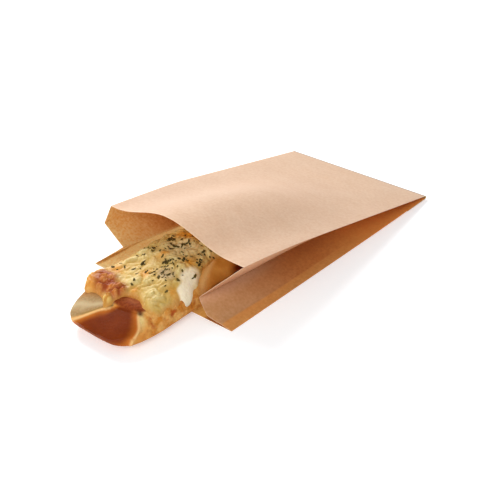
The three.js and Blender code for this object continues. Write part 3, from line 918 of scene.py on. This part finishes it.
def baked_crust():
    material, tree = new_material("baked_wheat_crust")
    broad = pattern(tree, 9.0, 0.3, 0.7, 3.0)
    fine = pattern(tree, 1.6, 0.35, 0.65, 2.0)
    freckles = pattern(tree, 2.6, 0.52, 0.72, 3.0)
    spots = pattern(tree, 6.0, 0.54, 0.72, 3.0)
    streaks = pattern(tree, 5.5, 0.38, 0.6, 3.0)
    # The layers for the crust inside the bag, the lip's top, the shoulder's streak, the shade under the
    # paper and the notch are painted light and shade. The others are the crust's own colours.
    layers = [
        ("blister", spots, blend_colours(tree, streaks, "d8a25a", "c07a2c"), "a8521e"),
        ("shade_inside_bag", broad, "cf9448", "b8782e"), ("cream", fine, "e0c98a", "d4b672"),
        ("cheek", fine, "a6865c", "93754c"), ("cheek_cream", "b8a27c"), ("cheek_line", "8a6a30"),
        ("face", broad, "bc6a20", "a8581a"), ("dark", broad, "762e04", "682604"),
        ("lip", fine, "8a4018", "76300e"), ("lip_top_light", fine, "985028", "844018"),
        ("shoulder_highlight", "d8aa6c"), ("shade_under_paper", "a4561a"), ("darkest_shade_under_paper", "5e1c04"),
        ("folds", "dab074"), ("shaded_notch", "4a1a08"), ("cheek_tan", "a4703a"), ("base", "b8702e"),
    ]
    colour = blend_colours(tree, broad, "d59a4e", "c27c34")
    colour = blend_colours(tree, arithmetic(tree, "MULTIPLY", freckles, 0.45), colour, "a2602a")
    colour = paint_layers(tree, colour, layers)
    smoother = arithmetic(tree, "MULTIPLY", value_of(tree, "face"), FACE_SMOOTHER)
    roughness = arithmetic(tree, "SUBTRACT", CRUST_ROUGHNESS, smoother)
    coat = arithmetic(tree, "MULTIPLY", value_of(tree, "face"), FACE_COAT)
    bump = add_node(tree, "ShaderNodeBump", {"Strength": 0.3, "Distance": 0.2 * MM}, {"Height": fine})
    shader = add_node(
        tree, "ShaderNodeBsdfPrincipled",
        {"IOR": 1.45, "Specular IOR Level": 0.08, "Coat Roughness": 0.25,
         "Subsurface Weight": 0.08, "Subsurface Scale": 1.5 * MM},
        {"Base Color": colour, "Roughness": roughness, "Normal": bump.outputs[0], "Coat Weight": coat},
    )
    add_node(tree, "ShaderNodeOutputMaterial", links={"Surface": shader.outputs[0]})
    return material


roll.data.materials.append(baked_crust())
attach(roll, "root")
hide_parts("bread_roll")

# %% [markdown]
# ## The topping's form
#
# Grated cheese and a white sauce were spread over the roll and baked. The cheese slumped into soft
# rolling folds, the sauce ran down the right side in one place, and at the front left the cheese
# bubbled up and browned into a mound of crags. The layer is a skin laid over the roll's own curve: a
# grid across and along it, raised by a thickness and by two kinds of noise. Its edges are ragged.

# %% The layer's outline
THICKNESS, MOUND, OVERHANG = 3.2, 3.4, 14.5
LEFT_EDGE, RIGHT_EDGE, RIGHT_INSIDE = -0.88, 0.97, 0.76  # shares of the roll's half width
RAGGED_LIMIT, DRIBBLE_EDGE = 0.985, 0.9995
FRONT_MIDDLE, FRONT_SIDE, BACK_MIDDLE, BACK_SIDE = -52.0, -32.0, 90.0, 62.0
# The front border's bends: how far back each goes, its place across the bag and its width.
FRONT_BENDS = ((13.5, 16, 13), (-10, -30, 9), (-8.5, 0.8, 6.0))
DRIBBLE_AT, DRIBBLE_WIDTH = -8.5, 6.5


def topping_span(p):
    across = mix(-0.97, 0.97, p)
    rounding = np.sqrt(1 - np.abs(across) ** 2.5)
    x = across * HALF_ROLL + BODY_OFFSET
    front = mix(FRONT_SIDE, FRONT_MIDDLE, rounding)
    for back_by, place, width in FRONT_BENDS:
        front = front + back_by * bell(x - place, width)
    return front, mix(BACK_SIDE, BACK_MIDDLE, rounding)


def dribble_at(y):
    """1 where the white sauce ran down over the right flank."""
    return np.exp(-((y - DRIBBLE_AT) / DRIBBLE_WIDTH) ** 4)


def topping_plan(p, q):
    """Where a point of the layer lies in plan, p across it and q along it, with a ragged edge."""
    front, back = topping_span(p)
    y = mix(front, back, q)
    edge = line(40 * p, y, 0)
    y = y + 2.4 * field(edge, 8, 2.9) * fade(q, 0.0, 0.12)
    middle, half, _, _ = roll_section(y)
    drips = 0.07 * field(line(60, y, 0), 11, 4.2) * smooth(p, 0.6, 1)
    right_side = mix(RIGHT_EDGE, RIGHT_INSIDE, smooth(y, -5, 30)) + drips
    right_side = mix(np.minimum(right_side, RAGGED_LIMIT), DRIBBLE_EDGE, dribble_at(y))
    return middle + mix(LEFT_EDGE, right_side, p) * half, y


# %% [markdown]
# ## Melted folds and toasted crags
#
# Two kinds of noise shape the surface. Cheese that has run and set has long soft folds: noise whose
# valleys are pinched into creases, read at places that are themselves shifted by slower noise, so
# that the folds curl. Where it boiled and browned, at the front left, it is a heap of round lumps:
# the distance to the nearest of many scattered points gives those, one lump to a point.

# %% Height of the layer
HEAP, RIGHT_HEAP = ((-16, -42), 14, (1, 1.25)), ((1.5, -43.5), 9.0, (1, 1.1))
GREY_POOL, GREY_BACK = ((21, -10), 7.0, (0.75, 1)), ((13, 24), 7, (1, 0.8))
WHITE_POOL = ((33, 2), 7.5, (1.3, 0.75))
DROP_PLACE, DROP_HALF = (0.8, -52.8), (5.4, 4.4)
LUMPS, SMALL_LUMPS = (5.0, 0.0), (3.4, 1.0)  # distance apart, and place in the noise
LEFT_ROUNDING, RIGHT_ROUNDING, END_ROUNDING = 7, 14, 16
RIM_SUNK, SKIN_STANDS, UNDERSIDE_SUNK = 0.9, 1.6, 1.4  # from the crust, the rim and the crust


def folds_at(x, y):
    """Curling soft folds, 0 in a crease and 1 on a crest."""
    flat = line(x, y, 0)
    curl_x, curl_y = 3.5 * field(flat, 13, 31.0), 3.5 * field(flat, 13, 37.0)
    curled = line(x + curl_x, 0.8 * (y + curl_y), 0)
    broad = np.abs(field(curled, 10.0, 41.0, 1)) * 2.2
    small = np.abs(field(curled, 4.0, 43.0, 1))
    return np.clip(0.75 * broad + 0.35 * small * 2.2, 0, 1.3)


def lumps_at(x, y, size, shift):
    """Round lumps about size apart: 1 at the top of each, 0 in the cracks between them."""
    places = line(x, y, 0).reshape(-1, 3) / size + shift
    nearest = np.array([noise.voronoi(Vector(place))[0][0] for place in places])
    return (1 - np.clip(nearest / 0.62, 0, 1) ** 2).reshape(x.shape)


def mound_at(x, y):
    """1 where the cheese bubbled up and browned."""
    return np.maximum(spot(x, y, *HEAP), 0.8 * spot(x, y, *RIGHT_HEAP))


def sauce_at(x, y):
    """The pools of sauce: those greyed by the herbs, and the white one along the right side."""
    grey = spot(x, y, *GREY_POOL) + 0.4 * spot(x, y, *GREY_BACK)
    white = spot(x, y, *WHITE_POOL) + dribble_at(y) * smooth(x, 33, 37)
    return np.clip(grey, 0, 1), np.clip(white, 0, 1)


def blob_at(x, y):
    """One round drop of cheese that ran out of the mound, over the left fold of the nose."""
    across, lengthwise = (x - DROP_PLACE[0]) / DROP_HALF[0], (y - DROP_PLACE[1]) / DROP_HALF[1]
    return np.sqrt(np.clip(1 - (across ** 2 + lengthwise ** 2), 0, 1))


def topping_height(x, y, p, q):
    """The layer's top, and how far each point is from its rim: 0 on it, 1 well inside."""
    side = np.minimum(LEFT_ROUNDING * p, RIGHT_ROUNDING * (1 - p))
    border = np.minimum(side, END_ROUNDING * np.minimum(q, 1 - q))
    edge = np.sqrt(1 - (1 - np.clip(border, 0, 1)) ** 2)
    mound = mound_at(x, y)
    pooled = np.clip(np.add(*sauce_at(x, y)), 0, 1)
    folds = 2.1 * (folds_at(x, y) - 0.45) * (1 - 0.8 * pooled) * (1 - 0.8 * mound)
    bubbles = 0.35 * lumps_at(x, y, 5.0, 3.0) * (1 - pooled)
    layer = THICKNESS * 0.75 + folds + bubbles + 0.7 * field(line(x, y, 0), 15, 0.4)
    crags = 1.9 * lumps_at(x, y, *LUMPS) + 1.1 * lumps_at(x + 2, y, 2.6, 7.0) - 1.0
    height = layer + smooth(mound, 0.05, 0.8) * (MOUND + crags)
    drop = blob_at(x, y) * (1.4 + 1.2 * lumps_at(x, y, *SMALL_LUMPS))
    return roll_top(x, y) - RIM_SUNK + edge * (height + SKIN_STANDS) + drop, edge


# %% [markdown]
# ## The layer in one piece
#
# The cheese's underside shows where the mound swells out over the roll's edge. So the piece is
# closed: a top skin, a plain lower one just inside the crust, and a rim that joins them.

# %% The topping's mesh
ACROSS, LENGTHWISE = 190, 260
# The first is a paler, greyer patch of cheese; the second is where the mound swells out over the roll's
# edge.
PALE_PATCH, SWOLLEN = ((8, 22), 13, (0.7, 0.9)), ((-27, -38), 14)
TOASTED_SPOTS = [
    (4, 5, 5.5), (24, 11, 5.5), (8, -19, 4.5), (-13, -26, 5.5), (-10, 35, 6), (14, -36, 4), (36, -18, 4),
    (-22, -12, 4), (0, 40, 8),
]


def topping_values(x, y, edge):
    toasted = sum(spot(x, y, (a, b), size) for a, b, size in TOASTED_SPOTS)
    toasted = toasted + 0.6 * smooth(y, 32, 56)
    grey, white = sauce_at(x, y)
    return {
        "mound": smooth(mound_at(x, y), 0.1, 0.5),
        "mound_left": smooth(-(x + 15) - 0.35 * (y + 40), -3, 5),
        "toasted": 0.95 * np.clip(toasted, 0, 1),
        "grey": smooth(grey, 0.25, 0.8), "white": smooth(white, 0.2, 0.75),
        "rim": 0.8 * fade(edge, 0.35, 0.95) * fade(white, 0.1, 0.4),
        # Painted light and shade: the folds' crests lighter than their creases.
        "crest": np.clip(folds_at(x, y), 0, 1),
        # Lump heights, which the material reads to paint cracks darker and tops paler: painted shade and
        # highlight.
        "lump": lumps_at(x, y, *LUMPS), "lump_small": lumps_at(x, y, *SMALL_LUMPS),
        "blob": blob_at(x, y), "pale_patch": 0.8 * spot(x, y, *PALE_PATCH),
    }


def make_topping():
    p, q = np.meshgrid(np.linspace(0, 1, ACROSS), np.linspace(0, 1, LENGTHWISE))
    x, y = topping_plan(p, q)
    top, edge = topping_height(x, y, p, q)
    overhang = OVERHANG * spot(x, y, *SWOLLEN) * edge
    drip = 0.9 * dribble_at(y) * smooth(x, 34, 38) * edge
    upper = line(x - 0.85 * overhang + drip, y - 0.25 * overhang, top)
    lower = line(x, y, roll_top(x, y) - UNDERSIDE_SUNK)
    size = ACROSS * LENGTHWISE
    faces = [grid_faces(LENGTHWISE, ACROSS), grid_faces(LENGTHWISE, ACROSS, size, flip=True)]
    numbers = np.arange(size).reshape(LENGTHWISE, ACROSS)
    rim = np.concatenate([numbers[0], numbers[1:, -1], numbers[-1, -2::-1], numbers[-2::-1, 0]])
    faces.append(np.stack([rim[1:], rim[:-1], rim[:-1] + size, rim[1:] + size], -1))
    values = topping_values(x, y, edge)
    doubled = {key: np.tile(number.ravel(), 2) for key, number in values.items()}
    points = np.concatenate([upper.reshape(-1, 3), lower.reshape(-1, 3)])
    return make_piece("melted_cheese", points, np.concatenate(faces), doubled)


topping = make_topping()

# %% [markdown]
# ## Melted cheese
#
# Melted cheese is fat, protein and water: pale yellow, soft-looking because light wanders about
# inside it, and slightly greasy, so its highlights are soft but clear. The sauce is whiter and the
# toasted spots go from gold to red-brown. Light scattered within 2 mm gives the softness.

# %% Melted cheese, white sauce and browned crags


def melted_cheese():
    material, tree = new_material("melted_cheese")
    broad = pattern(tree, 8.0, 0.35, 0.65, 3.0)
    fine = pattern(tree, 1.8, 0.35, 0.65, 3.0)
    # The first layer paints the fold crests lighter than their creases: painted light and shade.
    colour = paint_layers(tree, blend_colours(tree, broad, "c6a252", "b88e3c"), [
        ("crest", fine, "d4c086", "c8ae6a"), ("pale_patch", broad, "dccaa0", "c2ae80"),
    ])
    toast = arithmetic(tree, "MULTIPLY", value_of(tree, "toasted"), arithmetic(tree, "ADD", broad, 0.4))
    colour = blend_colours(tree, toast, colour, "cc8a2c")
    # Over the browned cheese's own red-brown and gold, the cracks between lumps are painted darker and
    # the lumps' tops paler: painted shade and highlight.
    lump = value_of(tree, "lump")
    crags = blend_colours(tree, lump, "8e3c0e", blend_colours(tree, fine, "b0601e", "c88848"))
    bubbled = blend_colours(tree, lump, "cc8a3a", "f0c474")
    colour = paint_layers(tree, colour, [
        ("grey", fine, "b89c68", "a4865a"), ("white", broad, "f2e4c8", "e6d6b4"),
        ("mound", value_of(tree, "mound_left"), crags, bubbled), ("rim", "c08238"),
        ("blob", value_of(tree, "lump_small"), "b07828", "dcb868"),
    ])
    bump = add_node(tree, "ShaderNodeBump", {"Strength": 0.3, "Distance": 0.3 * MM}, {"Height": fine})
    shader = add_node(
        tree, "ShaderNodeBsdfPrincipled",
        {"IOR": 1.46, "Roughness": 0.48, "Specular IOR Level": 0.22, "Subsurface Weight": 0.2,
         "Subsurface Scale": 2.0 * MM, "Subsurface Radius": (1.0, 0.7, 0.4)},
        {"Base Color": colour, "Normal": bump.outputs[0]},
    )
    add_node(tree, "ShaderNodeOutputMaterial", links={"Surface": shader.outputs[0]})
    return material


topping.data.materials.append(melted_cheese())
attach(topping, "root")
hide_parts("cheese_topping")

# %% [markdown]
# ## Dried herb flakes
#
# Crumbled dried parsley: flat, crooked crumbs of leaf, 1.5 to 4 mm long, of a dark brown green with
# paler veins. They lie thickest over the middle and back of the topping, in loose clusters: each is
# a place, a spread and a count, and every flake drops straight down onto the cheese. A particle
# system would be quicker, but it wouldn't put the clusters in their places. A seeded draw keeps
# them the same on each run.

# %% Herb flakes
HERB_SEED = 7
DROP_FROM, STEEPEST = 90, 0.3  # no flake stays on anything steeper
FLAKE_CORNERS, FLAKE_CURL = 7, 0.18
FLAKE_FACES = (0.14, -0.06)  # heights of its top and its underside
VEIN_SIZE = 0.8
CLUSTERS = [
    (-10, 27, 2.5, 20), (8, 27, 3.0, 9), (3, 18, 3.5, 14), (11, 2, 3.0, 16), (18, 12, 3.0, 9),
    (22, 28, 3.5, 10), (31, 19, 3.0, 10), (14, -6, 3.5, 13), (10, -15, 3.5, 8), (21, -13, 4.0, 15),
    (28, -4, 3.0, 7), (-11, 4, 4.5, 12), (-3, -16, 3.0, 6), (-14, -23, 2.5, 3), (8, -31, 1.5, 2),
    (16, -25, 2.0, 1), (31, -21, 3.0, 2), (34, 4, 2.5, 3), (-22, -27, 1.5, 1), (0, 45, 11.0, 30),
    (10, 62, 10.0, 14),
]


def flake(centre, normal, turn, length, width, random):
    """One crumb of leaf: a crooked outline of seven points, with two faces and a rim."""
    side = Vector(normal).orthogonal().normalized()
    side.rotate(Matrix.Rotation(turn, 3, normal))
    other = normal.cross(side)
    points = []
    for height in FLAKE_FACES:
        for k in range(FLAKE_CORNERS):
            angle = 2 * math.pi * k / FLAKE_CORNERS
            reach = 0.75 + 0.35 * random.random()
            curl = FLAKE_CURL * length * math.cos(angle) ** 2
            points.append(
                centre + side * (0.5 * length * reach * math.cos(angle))
                + other * (0.5 * width * reach * math.sin(angle)) + normal * (height + curl)
            )
    top = list(range(FLAKE_CORNERS))
    under = [k + FLAKE_CORNERS for k in top]
    faces = [top, under[::-1]]
    for k in top:
        after = (k + 1) % FLAKE_CORNERS
        faces.append([top[k], under[k], under[after], top[after]])
    return points, faces


def make_herbs(surface):
    random = np.random.RandomState(HERB_SEED)
    tree = BVHTree.FromPolygons(
        [Vector(v.co) / MM for v in surface.data.vertices],
        [tuple(f.vertices) for f in surface.data.polygons],
    )
    shift = Vector(MOUTH_MIDDLE / MM)
    points, faces, tones = [], [], []
    for x, y, spread, count in CLUSTERS:
        for _ in range(count):
            place = Vector((x + spread * random.randn(), y + spread * random.randn(), DROP_FROM))
            length = 1.5 + 2.6 * random.random() ** 1.5
            turn = math.pi * random.random()
            hit, normal, _, _ = tree.ray_cast(place + shift, Vector((0, 0, -1)))
            if hit is None or normal.z < STEEPEST:
                continue
            start = len(points)
            width = (0.3 + 0.25 * random.random()) * length + 0.3
            more, sides = flake(hit - shift, normal.normalized(), turn, length, width, random)
            points += more
            faces += [[start + k for k in face] for face in sides]
            tones += [random.random()] * len(more)
    return make_piece("herb_flakes", np.array(points), faces, {"tone": tones})


def dried_leaf():
    material, tree = new_material("dried_herb_leaf")
    tone = value_of(tree, "tone")
    veins = pattern(tree, VEIN_SIZE, 0.35, 0.65, 2.0)
    colour = blend_colours(tree, tone, "2e240a", "5a4a1a")
    colour = blend_colours(tree, arithmetic(tree, "MULTIPLY", veins, 0.35), colour, "766634")
    shader = add_node(
        tree, "ShaderNodeBsdfPrincipled",
        {"Roughness": 0.75, "Specular IOR Level": 0.15}, {"Base Color": colour},
    )
    add_node(tree, "ShaderNodeOutputMaterial", links={"Surface": shader.outputs[0]})
    return material


herbs = make_herbs(topping)
herbs.data.materials.append(dried_leaf())
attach(herbs, "root")
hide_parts("cheese_topping")
